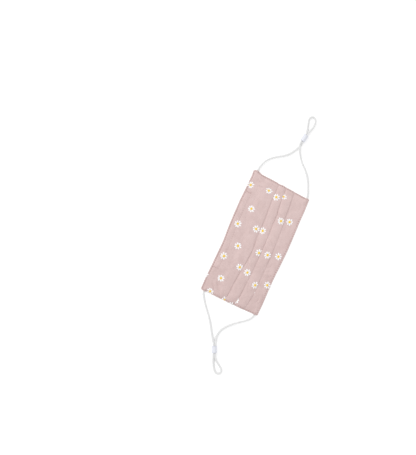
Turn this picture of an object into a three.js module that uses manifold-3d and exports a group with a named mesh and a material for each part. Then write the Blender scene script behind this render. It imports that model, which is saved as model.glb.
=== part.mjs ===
import * as THREE from 'three';
import { mergeVertices } from 'three/addons/utils/BufferGeometryUtils.js';
import Module from 'manifold-3d';

// A pleated cotton face mask with two adjustable ear cords, lying flat with its front up.
// Millimetres. +X runs to the wearer's left ear, +Y to the nose edge, +Z out of the front.

// Cloth panel
const halfLength = 94;        // from the middle to a short edge
const wall = 1.0;             // doubled cotton
const slack = 0.3;            // air between two folded layers
const pleatDepth = 8.5;       // how far the second and third pleats reach back
const firstPleatDepth = 12.5; // the first pleat reaches back furthest
const noseFall = 8;           // length of the slope from the first pleat down to the nose part
const rampClearance = 0.3;    // between a slope and the folds at its two ends
const stations = 22;          // sections along the panel

// Hems at the short edges, where all layers are turned and sewn together
const hemWidth = 6;
const hemHeight = 1.8;
const hemLift = 0.35;         // how far a hem stands above the pleats
const hemRound = 0.5;         // rounding of its edges
const tuckHeight = 3.3;       // swelling over a sewn-in cord end
const tuckHalfWidth = 1.7;

// Ear cords and the stoppers on them
const cordDiameter = 2.8;
const squeezedDiameter = 2.0; // inside a stopper
const squeezeFrom = 13;       // distance from a stopper's middle at which the squeeze begins
const squeezeTo = 7.5;
const gap = 0.3;              // between a cord and what it touches
const crossingAir = 0.6;      // under the strand that passes over the other
const cordSides = 8;
const cordStep = 6.2;         // length of one step of the tube
const stopperWidth = 6.6;
const stopperHeight = 5.4;
const stopperLength = 10.4;
const stopperRound = 0.8;

// Edges and fold lines of the panel, seen from above, as Y at each X.
const foldTable = [
  // x,    nose, fold1, fold2, fold3, chin
  [-94.0, 44.3,   6.6,  -9.0, -24.0, -44.6],
  [-79.2, 44.6,   5.4,  -9.9, -25.8, -44.9],
  [-65.0, 44.4,   5.1, -11.2, -27.5, -44.7],
  [-50.8, 44.0,   3.7, -11.9, -27.5, -44.4],
  [-40.8, 43.9,   2.3, -12.6, -27.5, -44.3],
  [-29.5, 44.0,   0.9, -12.5, -27.5, -44.6],
  [-15.0, 44.3,   0.5, -12.4, -27.4, -45.2],
  [  6.0, 44.9,   1.6, -12.2, -26.6, -45.7],
  [ 20.2, 45.3,   1.8, -11.9, -26.4, -45.6],
  [ 34.4, 45.6,   2.3, -11.2, -25.0, -45.2],
  [ 48.6, 45.7,   3.0, -10.5, -23.0, -44.7],
  [ 62.8, 45.6,   3.7,  -8.7, -22.2, -44.6],
  [ 77.0, 44.9,   4.4,  -7.7, -20.9, -44.3],
  [ 94.0, 45.4,   4.4,  -7.6, -20.0, -43.9],
];

// Thickness of the turned edges. The nose edge holds a sewn channel between two stitch lines.
const noseSeams = [
  // inset, thickness
  [ 0.7, 1.4],
  [ 1.7, 1.1],
  [ 3.2, 1.7],
  [ 8.6, 1.7],
  [10.4, 1.0],
  [12.4, 1.2],
];
const chinSeams = [
  // inset, thickness
  [ 4.0, 1.3],
  [ 1.7, 1.0],
  [ 0.7, 1.4],
];

// How far each short edge falls short of halfLength, and where the cords are sewn in.
const shortEdges = [
  {
    side: 1,
    tucks: [39.9, -40.8],
    // y, shortfall
    outline: [
      [-45.7, 9.6], [-42.8, 7.2], [-38.8, 7.2], [-20.0, 5.9], [-6.0, 4.9], [-3.0, 4.2],
      [4.0, 4.7], [8.0, 3.8], [34.0, 2.2], [36.0, 0.0], [43.0, 0.0], [45.7, 1.6],
    ],
  },
  {
    side: -1,
    tucks: [38.6, -40.5],
    // y, shortfall
    outline: [
      [-45.7, 2.2], [-43.2, 0.2], [-37.8, 0.2], [-27.0, 0.0], [0.0, 0.4], [36.0, 1.4],
      [42.0, 1.4], [45.7, 3.2],
    ],
  },
];
const mergeReach = 0.01;      // slivers thinner than this are closed up where hems join the cloth
const edgeReach = 24;         // how far in from a short edge its outline is felt

// Middle of each stopper and the heading of its bore, in degrees from +X.
const stoppers = {
  left: { x: 163.5, y: -2.0, heading: -8.5 },
  right: { x: -162.3, y: -8.85, heading: 202.5 },
};
const boreHeight = stopperHeight / 2;
const floorHeight = cordDiameter / 2;
const crossingHeight = floorHeight + cordDiameter + crossingAir;

// Routes of the cords, from the nose corner through the stopper, round its loop and back to
// the chin corner.
const cordRoutes = {
  left: [
    [94.3, 39.9, floorHeight], [98.3, 39.7, floorHeight], [104.8, 38.2, floorHeight],
    [111.2, 35.2, floorHeight], [117.2, 30.4, floorHeight], [122.5, 24.1, floorHeight],
    [127.4, 16.6, floorHeight], [133.4, 9.3, floorHeight], [140.6, 4.1, floorHeight],
    [147.2, 0.8, floorHeight], [152.2, -1.6, 1.5], [157.0, -2.2, boreHeight],
    [163.3, -3.1, boreHeight], [169.7, -4.1, boreHeight], [175.0, -5.3, 1.9],
    [180.6, -7.1, floorHeight], [186.2, -8.1, floorHeight], [191.3, -7.6, floorHeight],
    [195.0, -5.2, floorHeight], [196.0, -1.3, floorHeight], [193.8, 2.1, floorHeight],
    [189.6, 3.0, floorHeight], [184.4, 1.7, floorHeight], [179.4, 0.2, floorHeight],
    [174.8, -1.0, 1.9], [170.0, -1.8, boreHeight], [163.7, -0.9, boreHeight],
    [157.4, 0.1, boreHeight], [153.6, 0.2, 3.9], [149.9, -1.0, crossingHeight],
    [145.4, -3.4, 4.2], [140.6, -6.2, 2.7], [135.6, -9.6, 1.5], [130.2, -14.3, floorHeight],
    [124.2, -21.2, floorHeight], [117.6, -27.3, floorHeight], [109.6, -32.6, floorHeight],
    [101.4, -36.3, floorHeight], [93.8, -39.4, floorHeight], [87.1, -40.8, floorHeight],
  ],
  right: [
    [-92.9, 38.6, floorHeight], [-96.4, 38.0, floorHeight], [-101.4, 35.1, floorHeight],
    [-107.2, 31.0, floorHeight], [-113.0, 26.2, floorHeight], [-118.8, 21.2, floorHeight],
    [-124.6, 16.3, floorHeight], [-131.0, 11.7, floorHeight], [-138.0, 7.1, floorHeight],
    [-145.2, 2.6, floorHeight], [-151.2, -1.7, 1.8], [-156.8, -5.3, boreHeight],
    [-162.7, -7.8, boreHeight], [-168.7, -10.2, boreHeight], [-174.4, -12.6, 1.8],
    [-180.0, -15.1, floorHeight], [-185.4, -18.3, floorHeight], [-189.9, -21.9, floorHeight],
    [-191.7, -25.4, floorHeight], [-190.6, -28.8, floorHeight], [-187.2, -30.4, floorHeight],
    [-183.7, -29.0, floorHeight], [-180.2, -24.6, floorHeight], [-176.8, -19.6, 1.5],
    [-173.0, -15.2, 2.0], [-167.8, -12.4, boreHeight], [-161.9, -9.9, boreHeight],
    [-156.0, -7.5, boreHeight], [-150.8, -5.5, 1.8], [-144.6, -4.2, floorHeight],
    [-138.0, -4.8, floorHeight], [-131.2, -7.2, floorHeight], [-124.8, -11.8, floorHeight],
    [-118.8, -17.4, floorHeight], [-112.8, -24.4, floorHeight], [-106.6, -32.4, floorHeight],
    [-100.4, -38.0, floorHeight], [-94.2, -40.5, floorHeight],
  ],
};

const cotton = new THREE.MeshStandardMaterial({ color: 0xdac3c0, roughness: 0.95 });
const elastic = new THREE.MeshStandardMaterial({ color: 0xe4e4e4, roughness: 0.9 });
const silicone = new THREE.MeshStandardMaterial({ color: 0xe2e4ec, roughness: 0.4 });

const wasm = await Module();
wasm.setup();

function solidOf(geometry) {
  const bare = geometry.clone();
  bare.deleteAttribute('normal');
  bare.deleteAttribute('uv');
  const merged = mergeVertices(bare, 1e-4);
  return new wasm.Manifold(new wasm.Mesh({
    numProp: 3,
    vertProperties: new Float32Array(merged.attributes.position.array),
    triVerts: new Uint32Array(merged.index.array),
  }));
}

function geometryOf(solid) {
  const mesh = solid.getMesh();
  const geometry = new THREE.BufferGeometry();
  geometry.setAttribute('position', new THREE.BufferAttribute(mesh.vertProperties, 3));
  geometry.setIndex(new THREE.BufferAttribute(mesh.triVerts, 1));
  geometry.computeVertexNormals();
  return geometry;
}

// Joins closed loops of (y, z) points, each at its own X, into one capped solid.
function loft(sections) {
  const size = sections[0].loop.length;
  const positions = sections.flatMap(({ x, loop }) => loop.flatMap(([y, z]) => [x, y, z]));
  const indices = [];
  for (let row = 0; row < sections.length - 1; row++) {
    for (let point = 0; point < size; point++) {
      const next = (point + 1) % size;
      const [a, b] = [row * size + point, row * size + next];
      indices.push(a, b, b + size, a, b + size, a + size);
    }
  }
  const last = (sections.length - 1) * size;
  for (const [start, flip] of [[0, false], [last, true]]) {
    const loop = sections[start / size].loop.map(([y, z]) => new THREE.Vector2(y, z));
    for (const [a, b, c] of THREE.ShapeUtils.triangulateShape(loop, [])) {
      indices.push(...(flip ? [a, b, c] : [a, c, b]).map((corner) => corner + start));
    }
  }
  const geometry = new THREE.BufferGeometry();
  geometry.setAttribute('position', new THREE.Float32BufferAttribute(positions, 3));
  geometry.setIndex(indices);
  return geometry;
}

// Reads the fold table at any X.
const foldLines = new THREE.CubicInterpolant(
  new Float32Array(foldTable.map((row) => row[0])),
  new Float32Array(foldTable.flatMap((row) => row.slice(1))),
  foldTable[0].length - 1,
);

function panelAt(x) {
  const [nose, fold1, fold2, fold3, chin] = foldLines.evaluate(x);
  const folds = [
    { front: fold1, back: fold1 + firstPleatDepth },
    { front: fold2, back: fold2 + pleatDepth },
    { front: fold3, back: fold3 + pleatDepth },
  ];
  return { nose, folds, chin };
}

// Heights of the cloth's middle in the three layers of a pleat, and of its folds.
const pitch = wall + slack;
const bottomLayer = wall / 2;
const middleLayer = bottomLayer + pitch;
const topLayer = middleLayer + pitch;
const bendRadius = pitch / 2;
const bendReach = bendRadius + wall / 2;
const bendSteps = 4;
const climbSteps = 5;

// The middle line of the cloth from the nose edge to the chin edge. turn is 0 where it runs
// towards the chin with its front up, and 180 degrees where it runs back with its front down.
function clothLine({ nose, folds, chin }) {
  const line = [];
  const put = (y, z, turn = 0, thick = wall) => line.push({ y, z, turn, thick });
  const climb = (from, to) => {
    const run = from - to;
    for (let step = 0; step <= climbSteps; step++) {
      const part = step / climbSteps;
      const rise = (topLayer - bottomLayer) * part * part * (3 - 2 * part);
      const slope = (topLayer - bottomLayer) * 6 * part * (1 - part) / run;
      put(from - run * part, bottomLayer + rise, -Math.atan(slope));
    }
  };
  const bend = (y, z, outward, from, to) => {
    for (let step = 0; step <= bendSteps; step++) {
      const turn = from + (to - from) * step / bendSteps;
      const reach = outward * bendRadius;
      put(y - reach * Math.sin(turn), z + reach * Math.cos(turn), turn);
    }
  };
  for (const [inset, thick] of noseSeams) put(nose - inset, thick / 2, 0, thick);
  folds.forEach(({ front, back }, pleat) => {
    const from = pleat === 0 ? back + noseFall : folds[pleat - 1].front - rampClearance;
    climb(from, back + rampClearance);
    bend(front + bendReach, (topLayer + middleLayer) / 2, 1, 0, Math.PI);
    bend(back - bendReach, (middleLayer + bottomLayer) / 2, -1, Math.PI, 0);
  });
  for (const [inset, thick] of chinSeams) put(chin + inset, thick / 2, 0, thick);
  return line;
}

// Gives the cloth its thickness, with round edges.
function clothLoop(line) {
  const offset = ({ y, z, turn, thick }, side) => [
    y - side * Math.sin(turn) * thick / 2,
    z + side * Math.cos(turn) * thick / 2,
  ];
  const roundEnd = ({ y, z, thick }, from) => [1, 2, 3].map((step) => {
    const angle = from + step * Math.PI / 4;
    return [y + Math.cos(angle) * thick / 2, z + Math.sin(angle) * thick / 2];
  });
  const front = line.map((point) => offset(point, 1));
  const back = line.map((point) => offset(point, -1)).reverse();
  const chinEnd = roundEnd(line[line.length - 1], Math.PI / 2);
  const noseEnd = roundEnd(line[0], -Math.PI / 2);
  return [...front, ...chinEnd, ...back, ...noseEnd];
}

// A hem's section: solid under the pleats' tops, with a swelling over each sewn-in cord.
function hemLoop({ nose, folds, chin }, tucks, lower) {
  const top = topLayer + wall / 2 + hemLift - lower;
  const low = hemHeight - lower;
  const tuck = (y) => [
    [y + 2 * tuckHalfWidth, low], [y + tuckHalfWidth, tuckHeight - lower],
    [y - tuckHalfWidth, tuckHeight - lower], [y - 2 * tuckHalfWidth, low],
  ];
  const loop = [[nose, low / 2], [nose - hemRound, low], ...tuck(tucks[0])];
  folds.forEach(({ front, back }, pleat) => {
    const from = pleat === 0 ? back + noseFall : folds[pleat - 1].front - hemRound;
    loop.push([from, low], [back, top], [front + hemRound, top], [front, top - hemRound]);
  });
  loop.push([folds[2].front - hemRound, low], ...tuck(tucks[1]));
  loop.push([chin + hemRound, low], [chin, low / 2], [chin + hemRound, 0], [nose - hemRound, 0]);
  return loop;
}

function hem({ side, tucks }) {
  const places = [halfLength - hemWidth, halfLength - hemRound, halfLength];
  const sections = places.map((place, index) => ({
    x: side * place,
    loop: hemLoop(panelAt(side * place), tucks, index === 1 ? 0 : hemRound),
  }));
  return loft(side > 0 ? sections : sections.reverse());
}

function shortfall(outline, y) {
  const index = outline.findIndex(([place]) => place >= y);
  if (index <= 0) return outline[index === 0 ? 0 : outline.length - 1][1];
  const [[y0, value0], [y1, value1]] = [outline[index - 1], outline[index]];
  return THREE.MathUtils.mapLinear(y, y0, y1, value0, value1);
}

// Gives the short edges their outline by drawing the ends of the panel in.
function trimShortEdges(geometry) {
  const position = geometry.attributes.position;
  for (let index = 0; index < position.count; index++) {
    const x = position.getX(index);
    const { side, outline } = shortEdges.find((edge) => edge.side * x >= 0);
    const reach = THREE.MathUtils.smoothstep(Math.abs(x), halfLength - edgeReach, halfLength);
    position.setX(index, x - side * reach * shortfall(outline, position.getY(index)));
  }
  return geometry;
}

function pleatedPanel() {
  const clothReach = halfLength - hemRound;
  const sections = [];
  for (let station = 0; station <= stations; station++) {
    const x = THREE.MathUtils.mapLinear(station, 0, stations, -clothReach, clothReach);
    sections.push({ x, loop: clothLoop(clothLine(panelAt(x))) });
  }
  const cloth = shortEdges.reduce((solid, edge) => solid.add(solidOf(hem(edge))), solidOf(loft(sections)));
  return trimShortEdges(geometryOf(cloth.setTolerance(mergeReach)));
}

// A round cord along its route, squeezed where it runs through its stopper.
function earCord(route, stopper) {
  const path = new THREE.CatmullRomCurve3(route.map((point) => new THREE.Vector3(...point)));
  const radius = cordDiameter / 2;
  const corners = Array.from({ length: cordSides }, (_, side) => {
    const angle = (side + 0.5) * 2 * Math.PI / cordSides;
    return new THREE.Vector2(radius * Math.cos(angle), radius * Math.sin(angle));
  });
  const steps = Math.round(path.getLength() / cordStep);
  const tube = new THREE.ExtrudeGeometry(new THREE.Shape(corners), { steps, extrudePath: path });
  const centres = path.getSpacedPoints(steps);
  const position = tube.attributes.position;
  const corner = new THREE.Vector3();
  for (let index = 0; index < position.count; index++) {
    // Each corner lies one radius from the centre of its own step.
    corner.fromBufferAttribute(position, index);
    const centre = centres.find((place) => Math.abs(place.distanceTo(corner) - radius) < 1e-4);
    const away = Math.hypot(centre.x - stopper.x, centre.y - stopper.y);
    const width = THREE.MathUtils.clamp(
      THREE.MathUtils.mapLinear(away, squeezeTo, squeezeFrom, squeezedDiameter, cordDiameter),
      squeezedDiameter, cordDiameter,
    );
    corner.sub(centre).multiplyScalar(width / cordDiameter).add(centre);
    position.setXYZ(index, corner.x, corner.y, corner.z);
  }
  return tube;
}

// A soft oval stopper with one flat bore that holds both strands side by side.
function cordStopper() {
  const outline = new THREE.Shape();
  outline.absellipse(0, 0, stopperWidth / 2, stopperHeight / 2, 0, 2 * Math.PI);
  const depth = stopperLength - 2 * stopperRound;
  const body = new THREE.ExtrudeGeometry(outline, {
    depth,
    curveSegments: 10,
    bevelThickness: stopperRound,
    bevelSize: stopperRound,
    bevelOffset: -stopperRound,
    bevelSegments: 2,
  }).translate(0, 0, -depth / 2);
  const strands = new THREE.Shape();
  const strandShift = (squeezedDiameter + gap) / 2;
  const boreRadius = squeezedDiameter / 2 + gap;
  strands.absarc(strandShift, 0, boreRadius, -Math.PI / 2, Math.PI / 2);
  strands.absarc(-strandShift, 0, boreRadius, Math.PI / 2, 3 * Math.PI / 2);
  const bore = new THREE.ExtrudeGeometry(strands, {
    depth: 2 * stopperLength,
    curveSegments: 4,
    bevelEnabled: false,
  }).translate(0, 0, -stopperLength);
  return geometryOf(solidOf(body).subtract(solidOf(bore)));
}

function placeStopper(mesh, { x, y, heading }) {
  const angle = THREE.MathUtils.degToRad(heading);
  const along = new THREE.Vector3(Math.cos(angle), Math.sin(angle), 0);
  const up = new THREE.Vector3(0, 0, 1);
  const across = new THREE.Vector3().crossVectors(up, along);
  mesh.quaternion.setFromRotationMatrix(new THREE.Matrix4().makeBasis(across, up, along));
  mesh.position.set(x, y, boreHeight);
  return mesh;
}

function named(name, geometry, material) {
  const mesh = new THREE.Mesh(geometry, material);
  mesh.name = name;
  return mesh;
}

const group = new THREE.Group();
group.add(named('pleated_panel', pleatedPanel(), cotton));
for (const [ear, stopper] of Object.entries(stoppers)) {
  group.add(named(`ear_cord_${ear}`, earCord(cordRoutes[ear], stopper), elastic.clone()));
  group.add(placeStopper(named(`cord_stopper_${ear}`, cordStopper(), silicone.clone()), stopper));
}

export default group;
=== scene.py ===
import math
import random

import bpy
import numpy as np
from mathutils import Matrix, Vector


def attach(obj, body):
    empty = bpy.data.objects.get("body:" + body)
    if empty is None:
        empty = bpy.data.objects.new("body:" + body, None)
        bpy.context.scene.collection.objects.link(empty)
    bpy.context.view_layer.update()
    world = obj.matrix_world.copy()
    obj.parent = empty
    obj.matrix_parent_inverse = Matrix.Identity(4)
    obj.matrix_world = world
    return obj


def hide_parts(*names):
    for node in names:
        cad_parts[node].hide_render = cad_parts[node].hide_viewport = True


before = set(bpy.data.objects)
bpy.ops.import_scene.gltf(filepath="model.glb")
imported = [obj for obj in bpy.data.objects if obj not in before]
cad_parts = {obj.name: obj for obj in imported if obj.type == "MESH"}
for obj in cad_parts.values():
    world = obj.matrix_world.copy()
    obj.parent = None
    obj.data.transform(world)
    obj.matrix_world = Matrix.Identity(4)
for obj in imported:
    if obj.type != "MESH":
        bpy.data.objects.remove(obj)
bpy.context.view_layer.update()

mm = 0.001  # the tables below are in millimetres
threadClearance = 0.01  # embroidery and stitches don't sink into the table
print("frame loaded:", ", ".join(sorted(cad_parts)))

# The camera looks straight down on the mask, which lies turned on the ground.
photoView = {
    "pixelsHigh": 455,
    "mmPerPixel": 1.42,
    "middle": (-8.6, 70.8),  # the place on the ground at the centre of the picture
    "turn": 24.4,  # degrees from the picture's top to the mask's +X, clockwise
    "lens": 85.0,
    "sensor": 36.0,
}


def makeCamera(view):
    data = bpy.data.cameras.new("overheadCamera")
    data.lens = view["lens"]
    data.sensor_width = view["sensor"]
    camera = bpy.data.objects.new("overheadCamera", data)
    bpy.context.scene.collection.objects.link(camera)
    turn = math.radians(view["turn"])
    right = Vector((math.sin(turn), -math.cos(turn), 0))
    top = Vector((math.cos(turn), math.sin(turn), 0))
    seenHeight = view["pixelsHigh"] * view["mmPerPixel"] * mm
    distance = seenHeight * view["lens"] / view["sensor"]
    x, y = view["middle"]
    axes = Matrix((right, top, (0, 0, 1))).transposed()
    camera.matrix_world = Matrix.Translation((x * mm, y * mm, distance)) @ axes.to_4x4()
    bpy.context.scene.camera = camera


makeCamera(photoView)
print("camera placed")

# The ear cords: soft knitted elastic, oval, twisting as it lies.
cordShape = {
    "diameter": 2.8,  # mean of the oval
    "wide": 1.68,  # half its width
    "thin": 1.3,  # half its thickness
    "squeezed": 1.02,  # half its width and thickness inside a stopper
    "squeezeFrom": 13.0,  # distance from a stopper's middle
    "squeezeTo": 7.0,
    "ringStep": 0.55,
    "sides": 20,
    "ribPitch": 1.9,
    "ribDepth": 0.085,
    "crossRibs": 0.6,  # share of the second set of ribs
    "sewnIn": 2.6,  # length inside the hem at each end
    "sewnHeight": 0.95,
    "sewnGirth": 0.45,  # share of the girth left there
    "taperFrom": 0.5,  # where the girth starts to go, outside the hem
    "taperLength": 2.5,
    "pinchLength": 6.0,  # where it flattens before a seam
    "pinch": 0.4,
    "clearance": 0.02,  # above the table
}
floorHeight = 1.4  # of a cord's middle where it lies on the floor
boreHeight = 2.7  # and inside a stopper
crossingHeight = 4.8  # and over its other run
cordRoutes = {  # from corner to corner; a place with no height lies on the floor
    "left": [
        (94.3, 39.9), (98.3, 39.7), (104.8, 38.3), (111.2, 35.4), (117.2, 30.7), (122.5, 24.4),
        (127.3, 17.0), (133.3, 9.7), (140.4, 4.6), (147.0, 1.3), (152.0, -1.1, 1.5),
        (156.8, -1.6, boreHeight), (163.1, -2.4, boreHeight), (169.4, -3.3, boreHeight),
        (174.6, -4.2, 1.9), (180.1, -5.9), (185.7, -6.8), (190.8, -6.3), (194.6, -4.0), (195.6, -0.3),
        (193.6, 2.8), (189.5, 3.5), (184.3, 2.1), (179.3, 0.7), (174.7, -0.4, 1.9),
        (169.8, -1.1, boreHeight), (163.4, -0.2, boreHeight), (157.2, 0.7, boreHeight),
        (153.3, 1.0, 3.9), (149.5, 0.0, crossingHeight), (144.9, -2.3, 4.2), (140.1, -5.1, 2.7),
        (135.1, -8.4, 1.5), (129.7, -13.1), (123.7, -20.0), (117.1, -26.1), (109.1, -31.5),
        (101.0, -35.3), (93.5, -38.6), (87.0, -40.3),
    ],
    "right": [
        (-92.9, 38.6), (-96.4, 38.0), (-101.4, 35.1), (-107.2, 31.0), (-113.0, 26.2), (-118.8, 21.2),
        (-124.6, 16.3), (-131.0, 11.7), (-138.0, 7.1), (-145.2, 2.6), (-151.2, -1.7, 1.8),
        (-156.8, -5.3, boreHeight), (-162.7, -7.8, boreHeight), (-168.7, -10.2, boreHeight),
        (-174.4, -12.6, 1.8), (-180.0, -15.1), (-185.4, -18.3), (-189.9, -21.9), (-191.7, -25.4),
        (-190.6, -28.8), (-187.2, -30.4), (-183.7, -29.0), (-180.2, -24.6), (-176.8, -19.6, 1.5),
        (-173.0, -15.2, 2.0), (-167.8, -12.4, boreHeight), (-161.9, -9.9, boreHeight),
        (-156.0, -7.5, boreHeight), (-150.8, -5.5, 1.8), (-144.6, -4.2), (-138.0, -4.8), (-131.2, -7.2),
        (-124.8, -11.8), (-118.8, -17.4), (-112.8, -24.4), (-106.6, -32.4), (-100.4, -38.0),
        (-94.2, -40.5),
    ],
}
stopperPlaces = {
    "left": {"x": 163.2, "y": -1.35, "heading": -8.5},
    "right": {"x": -162.3, "y": -8.85, "heading": 202.5},
}
# How the oval lies at places along each cord: share of its length, degrees it is turned.
cordTwists = {
    "left": [(0, 20), (0.10, 95), (0.22, 10), (0.36, 60), (0.47, 100), (0.56, 40), (0.64, 0),
             (0.76, 85), (0.88, 10), (1, 60)],
    "right": [(0, 10), (0.12, 70), (0.25, 5), (0.37, 50), (0.48, 5), (0.56, 80), (0.66, 20),
              (0.78, 0), (0.90, 85), (1, 20)],
}


def routePoints(ear):
    return [(*point, floorHeight)[:3] for point in cordRoutes[ear]]


def addUvs(mesh, name, uvs):
    layer = mesh.uv_layers.new(name=name)
    corners = np.zeros(len(mesh.loops), np.int64)
    mesh.loops.foreach_get("vertex_index", corners)
    layer.data.foreach_set("uv", np.asarray(uvs, np.float32)[corners].ravel())


def newPiece(name, points, faces, uvs=None, smooth=True):
    mesh = bpy.data.meshes.new(name)
    mesh.from_pydata(np.asarray(points, float).tolist(), [], faces)
    if uvs is not None:
        addUvs(mesh, "surface", uvs)
    mesh.polygons.foreach_set("use_smooth", [smooth] * len(mesh.polygons))
    mesh.update()
    piece = bpy.data.objects.new(name, mesh)
    bpy.context.scene.collection.objects.link(piece)
    return piece


def tubeFaces(rings, sides, first=0):
    # The skin of a tube of rings, closed at both ends.
    faces = []
    for start in range(first, first + (rings - 1) * sides, sides):
        for a, b in zip(range(sides), [*range(1, sides), 0]):
            faces.append((start + a, start + b, start + sides + b, start + sides + a))
    last = first + (rings - 1) * sides
    return faces + [tuple(reversed(range(first, first + sides))), tuple(range(last, last + sides))]


def smoothRoute(points, spacing):
    # A centripetal spline through given points, cut into even steps.
    points = np.array(points, float)
    points = np.vstack([2 * points[0] - points[1], points, 2 * points[-1] - points[-2]])
    places = []
    for four in zip(points, points[1:], points[2:], points[3:]):
        gaps = [np.linalg.norm(q - p) ** 0.5 for p, q in zip(four, four[1:])]
        knots = np.concatenate([[0], np.cumsum(gaps)])
        for t in np.linspace(knots[1], knots[2], 16, endpoint=False):
            level = list(four)
            for reach in (1, 2, 3):
                level = [
                    ((knots[i + reach] - t) * level[i] + (t - knots[i]) * level[i + 1])
                    / (knots[i + reach] - knots[i])
                    for i in range(4 - reach)
                ]
            places.append(level[0])
    places.append(points[-2])
    places = np.array(places)
    along = np.concatenate([[0], np.cumsum(np.linalg.norm(np.diff(places, axis=0), axis=1))])
    steps = np.linspace(0, along[-1], int(round(along[-1] / spacing)) + 1)
    return np.array([np.interp(steps, along, places[:, axis]) for axis in range(3)]).T, steps


def makeCord(ear):
    shape, stopper = cordShape, stopperPlaces[ear]
    route = [np.array(point) for point in routePoints(ear)]
    for end, inner in ((0, 1), (-1, -2)):  # lead both ends into the hem
        outward = route[end] - route[inner]
        sewn = route[end] + outward / np.linalg.norm(outward) * shape["sewnIn"]
        route.insert(0 if end == 0 else len(route), sewn)
    centres, along = smoothRoute(route, shape["ringStep"])
    away = np.hypot(centres[:, 0] - stopper["x"], centres[:, 1] - stopper["y"])
    free = np.clip((away - shape["squeezeTo"]) / (shape["squeezeFrom"] - shape["squeezeTo"]), 0, 1)
    wide = shape["squeezed"] + (shape["wide"] - shape["squeezed"]) * free
    thin = shape["squeezed"] + (shape["thin"] - shape["squeezed"]) * free
    shares, degrees = zip(*cordTwists[ear])
    turn = np.radians(np.interp(along / along[-1], shares, degrees))
    halfHeight = np.hypot(wide * np.sin(turn), thin * np.cos(turn))
    centres[:, 2] += (halfHeight - floorHeight) * free
    fromEnd = np.minimum(along, along[-1] - along) - shape["sewnIn"]
    inHem = np.clip((shape["taperFrom"] - fromEnd) / shape["taperLength"], 0, 1)
    girth = 1 - (1 - shape["sewnGirth"]) * inHem
    wide, thin = wide * girth, thin * girth
    centres[:, 2] += (shape["sewnHeight"] - centres[:, 2]) * inHem
    tangent = np.gradient(centres, axis=0)
    tangent /= np.linalg.norm(tangent, axis=1)[:, None]
    side = np.cross(tangent, (0, 0, 1))
    side /= np.linalg.norm(side, axis=1)[:, None]
    up = np.cross(side, tangent)
    angle = np.arange(shape["sides"]) * 2 * math.pi / shape["sides"]
    # Two crossed sets of ribs, deeper along the flat faces, as on knitted elastic.
    phase = 2 * math.pi * along[:, None] / shape["ribPitch"]
    ribs = np.sin(phase + 2 * angle[None]) + shape["crossRibs"] * np.sin(phase - 3 * angle[None])
    radius = 1 + shape["ribDepth"] * ribs / (1 + shape["crossRibs"])
    flat = wide[:, None] * np.cos(angle) * radius
    high = thin[:, None] * np.sin(angle) * radius
    sideways = flat * np.cos(turn)[:, None] - high * np.sin(turn)[:, None]
    upwards = flat * np.sin(turn)[:, None] + high * np.cos(turn)[:, None]
    rings = centres[:, None] + sideways[..., None] * side[:, None] + upwards[..., None] * up[:, None]
    pinched = np.clip(1 - fromEnd / shape["pinchLength"], 0, 1) ** 1.5 * (1 - inHem)
    flattened = rings[..., 2] * (1 - shape["pinch"] * pinched)[:, None]
    rings[..., 2] = np.maximum(flattened, shape["clearance"])
    faces = tubeFaces(*rings.shape[:2])
    uvs = np.stack(np.broadcast_arrays(along[:, None] * mm, angle[None] / (2 * math.pi)), -1)
    cord = newPiece(f"elastic_cord_{ear}", rings.reshape(-1, 3) * mm, faces, uvs.reshape(-1, 2))
    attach(cord, "root")
    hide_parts(f"ear_cord_{ear}")
    return cord, centres * mm, along[-1] * mm


cords = {ear: makeCord(ear) for ear in cordRoutes}
for ear, (cord, path, length) in cords.items():
    print(f"ear cord {ear}: {length * 1000:.0f} mm")

# The stoppers: a short, soft, oval tube with rolled rims, modelled once and copied.
stopperShape = {
    "width": 6.5,
    "height": 5.3,
    "length": 10.2,
    "rimLength": 1.5,  # the slightly thicker ends
    "waist": 0.93,  # of the width, between the rims
    "rounding": 0.7,
    "roundSteps": ((0.35, 0.7), (0.65, 0.3)),  # of the rounding: length, and power of the growth
    "waistStep": 0.5,
    "endWall": 0.55,
    "boreWidth": 4.5,
    "boreHeight": 2.35,
}


def faceSelection(piece, chosen):
    for face in piece.data.polygons:
        face.select = chosen(face)
    for edge in piece.data.edges:
        edge.select = False
    for vertex in piece.data.vertices:
        vertex.select = False


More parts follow.
